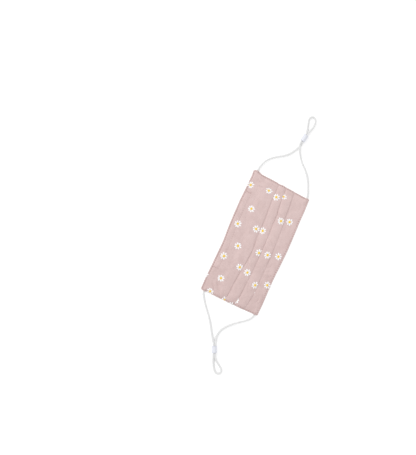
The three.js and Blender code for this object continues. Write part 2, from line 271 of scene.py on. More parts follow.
def modelStopper(shape):
    bpy.ops.object.select_all(action="DESELECT")
    bpy.ops.mesh.primitive_circle_add(vertices=32, radius=0.5, fill_type="NGON")
    piece = bpy.context.active_object
    piece.name = "silicone_stopper"
    bpy.ops.object.mode_set(mode="EDIT")
    bpy.ops.mesh.select_all(action="SELECT")
    bpy.ops.transform.resize(value=(shape["width"] * mm, shape["height"] * mm, 1))
    middle = shape["length"] - 2 * shape["rounding"] - 2 * shape["rimLength"]
    endSize = 1 - 2 * shape["rounding"] / shape["width"] + 0.1  # share of the full width
    rim, waist, waistStep = shape["rimLength"], shape["waist"], shape["waistStep"]
    swelling = [(shape["rounding"] * share, endSize**power) for share, power in shape["roundSteps"]]
    # Each step: how far the end face moves along the bore, and how much wider it gets.
    steps = [(rise, 1 / growth) for rise, growth in swelling]
    steps += [(rim, 1), (waistStep, waist), (middle - 2 * waistStep, 1), (waistStep, 1 / waist), (rim, 1)]
    steps += reversed(swelling)
    bpy.ops.transform.resize(value=(endSize, endSize, 1))
    for rise, growth in steps:
        bpy.ops.mesh.extrude_region_move(TRANSFORM_OT_translate={"value": (0, 0, rise * mm)})
        bpy.ops.transform.resize(value=(growth, growth, 1))
    bpy.ops.object.mode_set(mode="OBJECT")
    # Inset both ends, shape the inner faces to the flat bore, and join them through.
    faceSelection(piece, lambda face: len(face.vertices) > 4)
    bpy.ops.object.mode_set(mode="EDIT")
    bpy.ops.mesh.select_mode(type="FACE")
    bpy.ops.mesh.normals_make_consistent(inside=False)
    bpy.ops.mesh.inset(thickness=shape["endWall"] * mm, use_even_offset=True)
    endWidth = shape["width"] * endSize - 2 * shape["endWall"]
    endHeight = shape["height"] * endSize - 2 * shape["endWall"]
    bpy.ops.transform.resize(value=(shape["boreWidth"] / endWidth, shape["boreHeight"] / endHeight, 1))
    bpy.ops.mesh.bridge_edge_loops()
    bpy.ops.mesh.select_all(action="SELECT")
    bpy.ops.mesh.normals_make_consistent(inside=False)
    bpy.ops.transform.translate(value=(0, 0, -shape["length"] / 2 * mm))
    bpy.ops.object.mode_set(mode="OBJECT")
    rounding = piece.modifiers.new("rounding", "SUBSURF")
    rounding.levels = rounding.render_levels = 2
    bpy.ops.object.modifier_apply(modifier="rounding")
    bpy.ops.object.shade_smooth()
    spots = np.array([vertex.co for vertex in piece.data.vertices])
    across = 2 * spots[:, 0] / (shape["width"] * mm)
    addUvs(piece.data, "surface", np.stack([across, 2 * spots[:, 2] / (shape["length"] * mm)], -1))
    return piece


def placeStopper(pattern, ear):
    place = stopperPlaces[ear]
    piece = pattern.copy()
    piece.data = pattern.data.copy()
    piece.name = f"silicone_stopper_{ear}"
    bpy.context.scene.collection.objects.link(piece)
    heading = math.radians(place["heading"])
    along = Vector((math.cos(heading), math.sin(heading), 0))
    across = Vector((0, 0, 1)).cross(along)
    axes = Matrix((across, (0, 0, 1), along)).transposed().to_4x4()
    centre = Vector((place["x"], place["y"], boreHeight)) * mm
    piece.data.transform(Matrix.Translation(centre) @ axes)
    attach(piece, "root")
    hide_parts(f"cord_stopper_{ear}")
    return piece


stopperPattern = modelStopper(stopperShape)
stoppers = {ear: placeStopper(stopperPattern, ear) for ear in stopperPlaces}
bpy.data.objects.remove(stopperPattern)
print("stoppers made")

# The cloth: one doubled cotton sheet, folded into three pleats and sewn round its edges.
cloth = {
    "halfLength": 94.0,
    "halfWall": 0.27,
    "layerPitch": 0.62,
    "bottomLayer": 0.3,
    "pleatDepth": 8.0,
    "foldPress": 0.84,  # how much thinner a closed fold is at its edge
    "openLift": 0.2,
    "noseFall": 8.0,  # slope from the first pleat's back down to the nose part
    "columnStep": 0.8,
    "rows": {
        "nose": 25, "fall": 8, "tops": (18, 15, 15), "fold": 8, "hidden": (5, 4, 4), "turnBack": 6,
        "ramp": 10, "chin": 22,
    },
    "edgeInsets": (0, 0.1, 0.3, 0.6, 0.95, 1.35, 1.75, 2.15, 2.65, 3.2),
    "edgeGap": 0.6,  # from the last inset to the even rows and columns
    "rampStart": (0.4, 0.55),  # beyond a fold: where closed, and how much less where open
    "rampLength": (2.2, 2.8),  # where closed, and how much more where open
    "openPress": 0.45,  # how much less an open fold is pressed
    "pressReach": 3.0,
    "stripSwell": 0.35,
    "rimRadius": 0.7,
    "rollHeight": 0.34,
    "rollInset": 0.95,
    "rollWidth": 0.6,
    "seamInset": 1.8,
    "seamGroove": 0.14,
    "seamGrooveWidth": 0.45,
    "endGroove": 0.3,
    "endGrooveWidth": 0.55,
    "channelInset": 10.4,  # second stitch line of the channel along the nose edge
    "channelHeight": 0.14,
    "channelEnds": (-56.4, 60.2),
    "channelFade": 2.5,
    "puckerPitch": 3.3,
    "puckerHeight": 0.17,
    "hemPress": 0.62,  # share of the pleats' height left under the end stitches
    "hemReach": 6.0,
    "tuckLift": 0.75,  # the cloths part round a sewn-in cord end
    "tuckHeight": 1.25,
    "tuckWidth": 2.2,
    "tuckReach": 7.5,
    "settle": 1.0,  # how far the cloth stands off the ground away from its edges
    "calmReach": (6.0, 7.0),  # from the long and the short edges
    "waves": ((0.24, 3, 20, 7), (0.1, 5, 8, 9)),  # height, seed, shortest wave, count
    "creaseScale": 1.8,
    "edgeRelief": 0.25,  # share of waves and creases left at the edges
    "scallop": 0.14,
    "scallopReach": 1.2,
}
# Edges, fold lines and how open each fold lies (0 pressed, 1 open), from above.
foldTable = [
    # x,    nose, back1, fold1, open1, fold2, open2, fold3, open3, chin
    (-94.0, 44.3, 17.0,   6.6, 0.1,  -9.0, 0.0, -24.0, 0.3, -44.6),
    (-87.0, 44.5, 16.5,   6.0, 0.2,  -9.2, 0.2, -24.6, 0.4, -44.7),
    (-79.2, 44.6, 16.0,   5.4, 0.5, -10.1, 0.7, -25.8, 0.5, -44.9),
    (-65.0, 44.4, 15.5,   5.1, 0.7, -11.2, 0.3, -27.5, 0.1, -44.7),
    (-57.0, 44.1, 15.0,   4.4, 1.0, -11.7, 0.1, -27.5, 0.1, -44.5),
    (-50.8, 44.0, 14.5,   3.7, 0.5, -11.9, 0.1, -27.5, 0.2, -44.4),
    (-40.8, 43.9, 13.5,   2.3, 0.3, -12.6, 0.2, -27.5, 0.1, -44.3),
    (-29.5, 43.7, 13.0,   0.9, 0.5, -12.5, 0.1, -27.5, 0.1, -44.6),
    (-19.0, 43.5, 12.0,   0.6, 1.0, -12.4, 0.3, -27.5, 0.2, -45.0),
    ( -8.2, 44.0, 11.5,   0.5, 0.7, -12.3, 0.3, -27.2, 0.6, -45.4),
    (  6.0, 44.9, 13.4,   1.5, 0.0, -12.2, 0.2, -26.6, 0.3, -45.7),
    ( 20.2, 45.4, 17.0,   1.8, 0.5, -11.9, 0.3, -26.4, 0.1, -45.6),
    ( 34.4, 45.6, 21.8,   2.3, 0.6, -11.2, 0.2, -25.0, 0.5, -45.2),
    ( 41.5, 45.7, 21.9,   2.6, 0.4, -10.9, 0.4, -24.2, 0.6, -45.0),
    ( 48.6, 45.7, 20.8,   3.0, 0.2, -10.4, 0.8, -23.1, 0.4, -44.7),
    ( 55.7, 45.4, 19.3,   3.4, 0.2,  -9.1, 0.9, -22.7, 0.7, -44.6),
    ( 62.8, 45.2, 18.8,   3.8, 0.2,  -8.6, 0.7, -22.2, 1.0, -44.6),
    ( 77.0, 44.9, 18.2,   4.4, 0.6,  -7.7, 0.2, -20.9, 0.9, -44.3),
    ( 87.0, 44.8, 18.0,   4.4, 0.3,  -7.7, 0.1, -20.2, 0.4, -44.0),
    ( 94.0, 45.4, 18.0,   4.2, 0.2,  -7.6, 0.1, -20.0, 0.2, -43.9),
]
# Creases from above: points, then half width and height. A valley has a negative height.
creases = [
    ([(-75.5, 33.4), (-81.5, 29.8), (-88.5, 25.2)], 0.9, -0.50),
    ([(-71.3, 29.3), (-77.5, 24.2), (-83.5, 19.5), (-89.5, 15.8)], 0.9, -0.50),
    ([(-73.0, 31.5), (-79.0, 27.6), (-87.5, 21.0)], 1.5, 0.45),
    ([(-76.0, 21.8), (-83.0, 15.5), (-89.5, 11.5)], 1.6, 0.35),
    ([(74.0, 32.0), (74.5, 26.0), (76.5, 20.6)], 0.9, -0.32),
    ([(77.5, 31.0), (78.0, 25.0), (80.0, 20.0)], 1.6, 0.25),
    ([(85.0, 35.6), (82.5, 31.0), (82.0, 26.4)], 0.9, -0.35),
    ([(87.0, 33.0), (85.3, 29.0), (85.0, 25.0)], 1.4, 0.30),
    ([(50.0, -10.6), (48.3, -12.6), (46.5, -14.6)], 0.9, -0.40),
    ([(52.5, -12.0), (50.5, -14.5), (48.5, -16.5)], 1.4, 0.30),
    ([(11.8, -12.6), (12.4, -17.0), (9.2, -21.6), (4.6, -24.4)], 0.9, -0.32),
    ([(9.0, -14.5), (9.0, -17.5), (6.5, -20.5)], 1.7, 0.25),
    ([(-1.0, -12.8), (-1.2, -20.5)], 0.9, -0.22),
    ([(-26.5, 0.4), (-31.5, -2.0), (-35.1, -4.8)], 0.9, -0.50),
    ([(-24.5, -1.6), (-29.0, -4.2), (-33.0, -7.2)], 1.5, 0.40),
    ([(-16.0, -6.5), (-21.0, -5.6), (-27.0, -5.0)], 1.2, -0.16),
    ([(-49.0, -13.4), (-55.0, -14.8), (-60.5, -16.2), (-67.0, -17.3)], 0.9, -0.38),
    ([(-50.5, -15.8), (-57.0, -17.2), (-64.0, -19.2)], 1.6, 0.28),
    ([(-36.0, -14.6), (-30.5, -17.2), (-30.0, -21.0), (-36.5, -24.6)], 1.1, -0.20),
    ([(-34.5, -16.5), (-33.0, -20.0), (-38.5, -22.5)], 1.9, 0.20),
    ([(-23.8, -29.4), (-25.8, -31.8), (-22.6, -33.4), (-17.6, -34.2)], 1.0, -0.28),
    ([(-33.2, -28.4), (-31.4, -33.0), (-29.4, -36.4)], 1.0, -0.28),
    ([(-36.0, -29.5), (-34.0, -34.0)], 1.7, 0.22),
    ([(-40.0, -34.5), (-36.2, -38.4), (-33.2, -41.6)], 1.2, -0.26),
    ([(-37.4, -32.0), (-34.0, -36.4), (-31.0, -40.0)], 1.8, 0.26),
    ([(-60.6, -27.8), (-66.0, -31.4), (-69.2, -36.0)], 1.0, -0.34),
    ([(-63.5, -27.6), (-69.5, -31.5)], 1.6, 0.28),
    ([(-60.0, -35.2), (-59.4, -41.4)], 1.0, -0.26),
    ([(-69.6, -37.8), (-75.0, -36.6), (-80.6, -32.8)], 1.0, -0.30),
    ([(-66.0, -39.0), (-72.0, -39.6), (-78.5, -36.0)], 1.8, 0.28),
    ([(-80.6, 5.4), (-80.8, -0.6)], 0.9, -0.18),
    ([(-15.3, 22.8), (-22.0, 23.2), (-29.5, 22.4)], 1.3, -0.18),
    ([(60.5, 36.0), (61.0, 43.0)], 0.7, -0.25),
    ([(-56.0, 35.8), (-54.0, 43.0)], 0.7, -0.25),
    ([(64.0, 36.3), (72.0, 36.3)], 0.8, -0.16),
]
# How far each short edge falls short of halfLength: y, then the shortfall.
shortEdges = {
    1: [
        (-45.7, 9.6), (-44.6, 7.9), (-42.8, 7.2), (-38.8, 7.2), (-20.0, 5.9), (-6.0, 4.9),
        (-3.0, 4.2), (4.0, 4.7), (8.0, 3.8), (31.0, 2.4), (33.0, 1.9), (35.0, 1.2),
        (37.0, 0.5), (39.0, 0.1), (42.5, 0.1), (44.4, 1.0), (45.7, 2.8),
    ],
    -1: [
        (-45.7, 2.6), (-44.4, 0.8), (-43.0, 0.2), (-37.8, 0.2), (-27.0, 0.0), (0.0, 0.4),
        (36.0, 1.4), (42.5, 1.4), (43.6, 2.0), (44.6, 3.8),
    ],
}
edgeReach = 24.0
cordEntries = {1: (39.9, -40.3), -1: (38.6, -40.5)}


def ease(share):
    share = np.clip(share, 0, 1)
    return share * share * (3 - 2 * share)


def hump(distance, width):
    return np.exp(-((distance / width) ** 2))


def foldLinesAt(x):
    table = np.array(foldTable)
    slopes = np.gradient(table[:, 1:], table[:, 0], axis=0)
    index = np.clip(np.searchsorted(table[:, 0], x) - 1, 0, len(table) - 2)
    gap = (table[index + 1, 0] - table[index, 0])[:, None]
    t = (x[:, None] - table[index, 0][:, None]) / gap
    start, end = table[index, 1:], table[index + 1, 1:]
    rows = (2 * t**3 - 3 * t**2 + 1) * start + (t**3 - 2 * t**2 + t) * gap * slopes[index]
    rows += (3 * t**2 - 2 * t**3) * end + (t**3 - t**2) * gap * slopes[index + 1]
    keys = ("nose", "back1", "fold1", "open1", "fold2", "open2", "fold3", "open3", "chin")
    lines = dict(zip(keys, rows.T))
    for pleat in (1, 2, 3):
        lines[f"open{pleat}"] = np.clip(lines[f"open{pleat}"], 0, 1)
    return lines


class ClothSection:
    # Lays the cloth's middle line out from the nose edge to the chin edge, for all columns at once.
    def __init__(self, columns):
        self.columns = columns
        self.y, self.z, self.top, self.marks = [], [], [], {}

    def add(self, y, z, top):
        self.y.append(np.broadcast_to(y, (self.columns, np.shape(y)[-1])))
        self.z.append(np.broadcast_to(z, self.y[-1].shape))
        self.top.append(np.broadcast_to(top, self.y[-1].shape))

    def mark(self, name):
        self.marks[name] = sum(part.shape[1] for part in self.y)

    def run(self, start, end, height, count, top=0.0):
        share = np.arange(count) / count
        self.add(start[:, None] + (end - start)[:, None] * share, height, top)

    def climb(self, start, end, low, high, count, opened=1.0):
        share = np.arange(count) / count
        opened = np.asarray(opened)[..., None]
        rise = opened * ease(share) + (1 - opened) * (1 - (1 - share) ** 3)
        self.add(start[:, None] + (end - start)[:, None] * share, low + (high - low) * rise, rise)

    def bend(self, centre, height, radius, outward, count, top):
        share = np.arange(count) / count
        turn = math.pi * share if outward > 0 else math.pi * (1 - share)
        y = centre[:, None] - outward * radius * np.sin(turn)
        self.add(y, height + outward * radius * np.cos(turn), top)

    def result(self):
        return tuple(np.concatenate(parts, axis=1) for parts in (self.y, self.z, self.top))


def layOutCloth(x):
    lines = foldLinesAt(x)
    low = cloth["bottomLayer"]
    pitch = cloth["layerPitch"]
    middle, high = low + pitch, low + 2 * pitch
    reach = pitch / 2 + cloth["halfWall"]
    insets = np.array(cloth["edgeInsets"])
    section = ClothSection(len(x))
    section.add(lines["nose"][:, None] - insets, low, 0.0)
    fallStart = lines["back1"] + cloth["noseFall"]
    flatStart = lines["nose"] - insets[-1] - cloth["edgeGap"]
    (rampFrom, rampLess), (rampLength, rampMore) = cloth["rampStart"], cloth["rampLength"]
    rows = cloth["rows"]
    section.run(flatStart, fallStart, low, rows["nose"])
    rampEnd = lines["back1"] + 0.2
    section.climb(fallStart, rampEnd, low, high, rows["fall"])
    for pleat in (1, 2, 3):
        fold, opened = lines[f"fold{pleat}"], lines[f"open{pleat}"]
        back = lines["back1"]
        if pleat > 1:
            back = np.minimum(fold + cloth["pleatDepth"], rampEnd - 0.1)
        hidden = rows["hidden"][pleat - 1]
        section.run(rampEnd, fold + reach, high, rows["tops"][pleat - 1], 1.0)
        section.mark(f"topEnd{pleat}")
        section.bend(fold + reach, (high + middle) / 2, pitch / 2, 1, rows["fold"], 1.0)
        section.run(fold + reach, back - reach, middle, hidden, 1.0)
        section.bend(back - reach, (middle + low) / 2, pitch / 2, -1, rows["turnBack"], 0.0)
        section.mark(f"bottomStart{pleat}")
        rampStart = fold + rampFrom - rampLess * opened  # a closed fold rests on the next strip
        rampEnd = rampStart - rampLength - rampMore * opened
        section.run(back - reach, rampStart, low, hidden)
        if pleat < 3:
            section.climb(rampStart, rampEnd, low, high, rows["ramp"], opened)
    lastStart = lines["chin"] + insets[-1] + cloth["edgeGap"]
    section.run(rampStart, lastStart, low, rows["chin"])
    section.add(lines["chin"][:, None] + insets[::-1], low, 0.0)
    return lines, section


def creaseField(x, y):
    field = np.zeros_like(x)
    for points, width, height in creases:
        points = np.array(points, float)
        lengths = np.linalg.norm(np.diff(points, axis=0), axis=1)
        starts = np.concatenate([[0], np.cumsum(lengths)[:-1]])
        nearest, place = np.full(x.shape, 1e9), np.zeros_like(x)
        for (ax, ay), (bx, by), length, start in zip(points, points[1:], lengths, starts):
            share = np.clip(((x - ax) * (bx - ax) + (y - ay) * (by - ay)) / length**2, 0, 1)
            away = np.hypot(x - ax - share * (bx - ax), y - ay - share * (by - ay))
            closer = away < nearest
            nearest = np.where(closer, away, nearest)
            place = np.where(closer, (start + share * length) / lengths.sum(), place)
        field += height * hump(nearest, width) * (1 - np.abs(2 * place - 1) ** 3)
    return field


def softWaves(x, y, seed, shortest, count):
    # A sum of slow sine waves in random directions.
    draw = random.Random(seed)
    field = np.zeros_like(x)
    for _ in range(count):
        heading = draw.uniform(0, math.pi)
        length = shortest * draw.uniform(1, 2.6)
        phase = draw.uniform(0, 2 * math.pi)
        field += np.sin((x * math.cos(heading) + y * math.sin(heading)) * 2 * math.pi / length + phase)
    return field / math.sqrt(count)


def seamPuckers(along, seed):
    # Uneven dimples, one for each stitch.
    pitch = cloth["puckerPitch"]
    drift = 0.25 * np.sin(along / 7.3 + seed) + 0.2 * np.sin(along / 17.1 + 2.1 * seed)
    strength = 0.8 + 0.25 * np.sin(along / 5.1 + 1.7 * seed)
    return strength * np.cos(2 * math.pi * along / pitch + drift)


def wallShape(x, away):
    # The doubled wall: round rim, rolled edge, stitch groove, and the channel at the nose.
    fromEdge = np.minimum(away["side"], away["end"])
    rim = np.sqrt(1 - (1 - np.clip(fromEdge / cloth["rimRadius"], 0, 1)) ** 2)
    roll = cloth["rollHeight"] * hump(fromEdge - cloth["rollInset"], cloth["rollWidth"])
    (left, right), fade = cloth["channelEnds"], cloth["channelFade"]
    inChannel = ease((x - left) / fade) * ease((right - x) / fade)
    inset, line, width = cloth["seamInset"], cloth["channelInset"], cloth["seamGrooveWidth"]
    groove = cloth["seamGroove"] * hump(away["side"] - inset, width)
    endGroove = cloth["endGroove"] * hump(away["end"] - inset, cloth["endGrooveWidth"])
    groove = np.maximum(groove, endGroove)
    groove += cloth["seamGroove"] * 0.5 * hump(away["nose"] - line, width) * inChannel
    channel = ease((away["nose"] - 2.2) / 1.6) * ease((line - 0.3 - away["nose"]) / 1.8)
    channel = channel * inChannel
    wall = (cloth["halfWall"] + roll - groove + cloth["channelHeight"] * channel) * rim
    return wall, rim, channel, inChannel


def foldShape(y, lines):
    # Strips swell between the folds, a closed fold is pressed thin, an open one stands up.
    lift, press, reach = np.zeros_like(y), np.ones_like(y), cloth["pressReach"]
    for pleat in (1, 2, 3):
        fold, opened = lines[f"fold{pleat}"][:, None], lines[f"open{pleat}"][:, None]
        near = np.exp(-np.clip(y - fold, 0, None) / reach) * (y > fold - 0.5)
        lift += cloth["openLift"] * opened * near * (np.abs(y - fold) < 12)
        flatten = cloth["foldPress"] * (1 - cloth["openPress"] * opened)
        press = press * (1 - flatten * np.exp(-np.abs(y - fold) / reach))
    for upper, lower in (("fold1", "fold2"), ("fold2", "fold3")):
        share = (y - lines[lower][:, None]) / (lines[upper] - lines[lower])[:, None]
        lift += cloth["stripSwell"] * np.sin(math.pi * np.clip(share, 0, 1))
    return lift, press


def standHeight(x, y, away):
    # Creases and slow waves move the whole stack, and fade out where the edge touches down.
    sideReach, endReach = cloth["calmReach"]
    calm = ease(away["side"] / sideReach) * ease(away["end"] / endReach)
    relief = sum(height * softWaves(x, y, *wave) for height, *wave in cloth["waves"])
    relief = relief + cloth["creaseScale"] * creaseField(x, y)
    left = cloth["edgeRelief"]
    stand = cloth["settle"] * calm + relief * (left + (1 - left) * calm)
    return 0.5 * (stand + np.sqrt(stand**2 + 0.02))


def besideSeam(distance):
    return hump(distance - 1.2, 1.9) + 0.35 * hump(distance - 3.0, 3.2)


def puckerHeight(x, y, away, channel, inChannel):
    channelLine = channel * 0.75 + 0.5 * hump(away["nose"] - cloth["channelInset"], 2.2) * inChannel
    height, endSeam = cloth["puckerHeight"], besideSeam(away["end"])
    pucker = height * (seamPuckers(x, 1.0) * besideSeam(away["side"]) + seamPuckers(y, 2.0) * endSeam * 0.8)
    return pucker + height * 0.6 * seamPuckers(x, 3.0) * channelLine


def partAroundCords(x, y, away, rim, z, wallFront, wallBack):
    # The cords are sewn in between the two cloths at the corners.
    fade = ease((cloth["tuckReach"] - away["end"]) / cloth["tuckReach"])
    for side, entries in cordEntries.items():
        for entry in entries:
            beside, reach = hump(y - entry, cloth["tuckWidth"]), fade * (side * x > 0)
            swelling = cloth["tuckHeight"] * beside * reach * rim
            z = z + cloth["tuckLift"] * beside * reach
            wallFront, wallBack = wallFront + swelling, wallBack + swelling * 0.6
    return z, wallFront, wallBack


def drawEdgesIn(x, y, away):
    # Draws the short edges in to their outline, and scallops all edges at the stitches.
    for side, outline in shortEdges.items():
        places, shortfalls = zip(*outline)
        reach = ease((np.abs(x) - (cloth["halfLength"] - edgeReach)) / edgeReach) * (side * x > 0)
        x = x - side * reach * np.interp(y, places, shortfalls)
    scallop = cloth["scallop"] * np.exp(-np.minimum(away["side"], away["end"]) / cloth["scallopReach"])
    inwards = np.where(away["nose"] < away["chin"], 1, -1) * (away["side"] < away["end"])
    y = y + scallop * seamPuckers(x, 1.0) * inwards
    return x + scallop * seamPuckers(y, 2.0) * np.sign(x) * (away["end"] <= away["side"]), y


def makeClothSurface():
    half, insets = cloth["halfLength"], np.array(cloth["edgeInsets"])
    inner = half - insets[-1] - cloth["edgeGap"]
    count = int(round(2 * inner / cloth["columnStep"]))
    tableX = np.concatenate([-half + insets, np.linspace(-inner, inner, count + 1), half - insets[::-1]])
    lines, section = layOutCloth(tableX)
    y, z, top = section.result()
    x = np.broadcast_to(tableX[:, None], y.shape).copy()
    steps = np.hypot(np.diff(y, axis=1), np.diff(z, axis=1))
    arc = np.concatenate([np.zeros((len(y), 1)), np.cumsum(steps, axis=1)], axis=1)
    away = {"nose": arc, "chin": arc[:, -1:] - arc, "end": half - np.abs(x)}
    away["side"] = np.minimum(away["nose"], away["chin"])

    wall, rim, channel, inChannel = wallShape(x, away)
    lift, press = foldShape(y, lines)
    z = cloth["bottomLayer"] + (z - cloth["bottomLayer"]) * press + lift * top
    wall = wall * press
    pucker = puckerHeight(x, y, away, channel, inChannel)
    hemPress = 1 - (1 - cloth["hemPress"]) * ease(1 - away["end"] / cloth["hemReach"])
    z = z * hemPress + standHeight(x, y, away) + (wall - cloth["halfWall"]).clip(0) + pucker * 0.5
    z, wallFront, wallBack = partAroundCords(x, y, away, rim, z, wall + pucker * 0.5 * rim, wall)
    x, y = drawEdgesIn(x, y, away)

    middle = np.stack([x, y, z], -1)
    across, along = np.gradient(middle, axis=1), np.gradient(middle, axis=0)
    normal = np.cross(across, along)
    normal /= np.linalg.norm(normal, axis=2)[..., None]
    front = middle + normal * wallFront[..., None]
    back = middle - normal * wallBack[..., None]
    for skin in (front, back):
        skin[..., 2] = np.maximum(skin[..., 2], 0.0)
    return {
        "front": front, "back": back, "normal": normal, "arc": arc, "tableX": tableX,
        "columns": len(tableX), "rows": y.shape[1], "marks": section.marks,
        "fromEnd": away["end"], "fromSide": away["side"],
    }


def makeCloth(surface):
    columns, rows = surface["columns"], surface["rows"]
    frontIndex = np.arange(columns * rows).reshape(columns, rows)
    backIndex = frontIndex.copy()
    inside = np.zeros((columns, rows), bool)
    inside[1:-1, 1:-1] = True
    backIndex[inside] = columns * rows + np.arange(inside.sum())
    points = np.concatenate([surface["front"].reshape(-1, 3), surface["back"][inside]])

    def quads(index):
        corners = (index[:-1, :-1], index[:-1, 1:], index[1:, 1:], index[1:, :-1])
        return np.stack(corners, -1).reshape(-1, 4)

    faces = np.concatenate([quads(frontIndex), quads(backIndex)[:, ::-1]]).tolist()
    flat = np.stack(np.broadcast_arrays(surface["tableX"][:, None], surface["arc"]), -1)
    uvs = np.concatenate([flat.reshape(-1, 2), flat[inside]]) * mm
    piece = newPiece("pleated_cloth", points * mm, faces, uvs)
    hem = np.stack([surface["fromEnd"], surface["fromSide"]], -1)
    addUvs(piece.data, "hem", np.concatenate([hem.reshape(-1, 2), hem[inside]]) * mm)
    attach(piece, "root")
    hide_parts("pleated_panel")
    return piece


halfFold = cloth["rows"]["fold"] // 2  # rows from the start of a fold's bend to its outermost line
surface = makeClothSurface()
pleatedCloth = makeCloth(surface)


def clothPoints(x, arc, side="front"):
    # Places and outward directions on the cloth at table X and distance along its section.
    columns = np.interp(x, surface["tableX"], np.arange(surface["columns"]))
    first = np.minimum(columns.astype(int), surface["columns"] - 2)
    share = (columns - first)[:, None]
    rows = np.arange(surface["rows"])

    def sample(index):
        row = np.array([np.interp(a, surface["arc"][i], rows) for i, a in zip(index, arc)])
        low = np.minimum(row.astype(int), surface["rows"] - 2)
        part = (row - low)[:, None]
        return tuple(
            field[index, low] * (1 - part) + field[index, low + 1] * part
            for field in (surface[side], surface["normal"])
        )

    (place0, normal0), (place1, normal1) = sample(first), sample(first + 1)
    normal = normal0 * (1 - share) + normal1 * share
    normal /= np.linalg.norm(normal, axis=1)[:, None]
    return place0 * (1 - share) + place1 * share, normal if side == "front" else -normal


def arcOnStrip(tableX, y, strip):
    # The distance along the section of a place seen from above on a strip.
    marks = surface["marks"]
    first = 0 if strip == 0 else marks[f"bottomStart{strip}"]
    last = surface["rows"] if strip == 3 else marks[f"topEnd{strip + 1}"] + halfFold
    column = int(round(np.interp(tableX, surface["tableX"], np.arange(surface["columns"]))))
    seen = surface["front"][column, first:last]
    arc = np.interp(-y, -seen[:, 1], surface["arc"][column, first:last])
    return arc - max(0, y - seen[0, 1]) * (strip == 0)


def findDaisy(x, y, strip, turn):
    tableX = x
    if abs(x) < cloth["halfLength"]:  # else its middle lies past the edge
        for _ in range(3):
            place, _ = clothPoints(np.array([tableX]), np.array([arcOnStrip(tableX, y, strip)]))
            tableX += x - place[0, 0]
    # Its level line, so that it keeps its shape whatever the pleats hide beside it.
    beside = tableX + np.linspace(-6, 6, 13)
    level = [arcOnStrip(place, y, strip) for place in beside]
    return {"x": tableX, "beside": beside, "level": level, "turn": math.radians(turn)}


# The embroidered daisies, listed: x, y, strip, degrees turned, side of a loose thread.
daisyChart = [
    (71.4, 40.6, 0, 10, None), (74.6, 13.6, 0, 25, 1), (70.6, 0.4, 1, 5, None),
    (75.5, -8.8, 2, 12, None), (41.0, 25.8, 0, 30, None), (42.4, -19.7, 2, 0, None),
    (46.2, -31.5, 3, 20, None), (13.8, 34.5, 0, 15, None), (17.7, 7.8, 0, 5, 1),
    (19.1, -1.8, 1, 35, None), (-14.7, 21.3, 0, 12, None), (-11.6, -9.9, 1, 28, None),
    (-9.4, -22.3, 2, 8, None), (-5.0, -37.2, 3, 22, None), (-36.1, 33.5, 0, 18, -1),
    (-41.3, 6.4, 0, 40, None), (-43.7, -6.5, 1, 14, None), (-48.5, -39.6, 3, 33, None),
    (-55.5, -23.9, 2, 4, None), (-66.5, 24.4, 0, 26, None), (-89.8, 30.7, 0, 16, None),
    (-92.5, 6.2, 0, 9, None), (-70.6, 47.2, 0, 31, None), (-86.3, -7.9, 2, 20, None),
    (-96.3, -4.4, 1, 11, None), (-65.0, -23.2, 3, 6, None),
]
daisyShape = {
    "petals": 8,
    "petalStart": 1.2,
    "petalEnd": 5.3,
    "petalHalfWidth": 1.12,
    "petalHeight": 0.36,
    "petalSink": 0.07,  # its rim lies under the cloth's surface
    "raggedness": 0.05,
    "sway": 0.12,
    "threads": 6,  # satin stitches across a petal
    "threadRelief": 0.05,
    "centreWidth": 1.62,  # half its width
    "centreOval": (1.12, 0.95),
    "centreHeight": 0.55,
    "knotHeight": 0.09,
    "tailRadius": 0.2,
    "tailStart": 0.9,
    "tailReach": 2.9,
    "tailBow": 0.35,
    "tailHeight": 0.42,
    "edgeMargin": 0.2,  # flowers are cut off this far inside the cloth's edges
}


def fromDaisy(daisy, offsets, heights):
    # Offsets are (along X, towards the chin) from the daisy's middle, on the flat cloth.
    margin = daisyShape["edgeMargin"]
    edge = cloth["halfLength"] - margin
    wanted = daisy["x"] + offsets[:, 0]
    x = np.clip(wanted, -edge, edge)  # cut off cleanly where the cloth ends
    wantedArc = np.interp(x, daisy["beside"], daisy["level"]) + offsets[:, 1]
    full = np.interp(x, surface["tableX"], surface["arc"][:, -1])
    arc = np.clip(wantedArc, margin, full - margin)
    kept = (x == wanted) & (arc == wantedArc)
    place, normal = clothPoints(x, arc)
    return place + normal * np.where(kept, heights, -0.05)[:, None], kept


def petalGrid(draw, daisy, petal, count=(11, 13)):
    shape = daisyShape
    along, across = (np.sin(np.linspace(-1, 1, size) * math.pi / 2) for size in count)
    along, across = np.meshgrid(0.5 + 0.5 * along, across, indexing="ij")
    reach = shape["petalEnd"] * draw.uniform(0.9, 1.07) - shape["petalStart"]
    width = shape["petalHalfWidth"] * draw.uniform(0.88, 1.08)
    # Narrow at the centre, widest near the tip, blunt and a little ragged there.
    profile = (0.28 + 0.72 * np.sin(math.pi * along**1.5 * 0.86) ** 0.9) * (1 - 0.2 * along**8)
    ragged = shape["raggedness"] * np.sin(across * 9 + draw.uniform(0, 6)) * along**6
    angle = daisy["turn"] + (petal + draw.uniform(-0.09, 0.09)) * 2 * math.pi / shape["petals"]
    out = shape["petalStart"] + reach * (along + ragged) * (1 - 0.10 * across**2 * along**3)
    aside = across * width * profile + shape["sway"] * draw.uniform(-1, 1) * along**2
    offsets = np.stack([
        out * math.cos(angle) - aside * math.sin(angle),
        out * math.sin(angle) + aside * math.cos(angle),
    ], -1)
    dome = (1 - across**2) ** 0.5 * (1 - np.abs(2 * along - 1) ** 5) ** 0.6
    stitches = shape["threadRelief"] * np.cos(across * math.pi * shape["threads"]) * dome
    heights = shape["petalHeight"] * dome + stitches - shape["petalSink"]
    return offsets.reshape(-1, 2), heights.reshape(-1), count


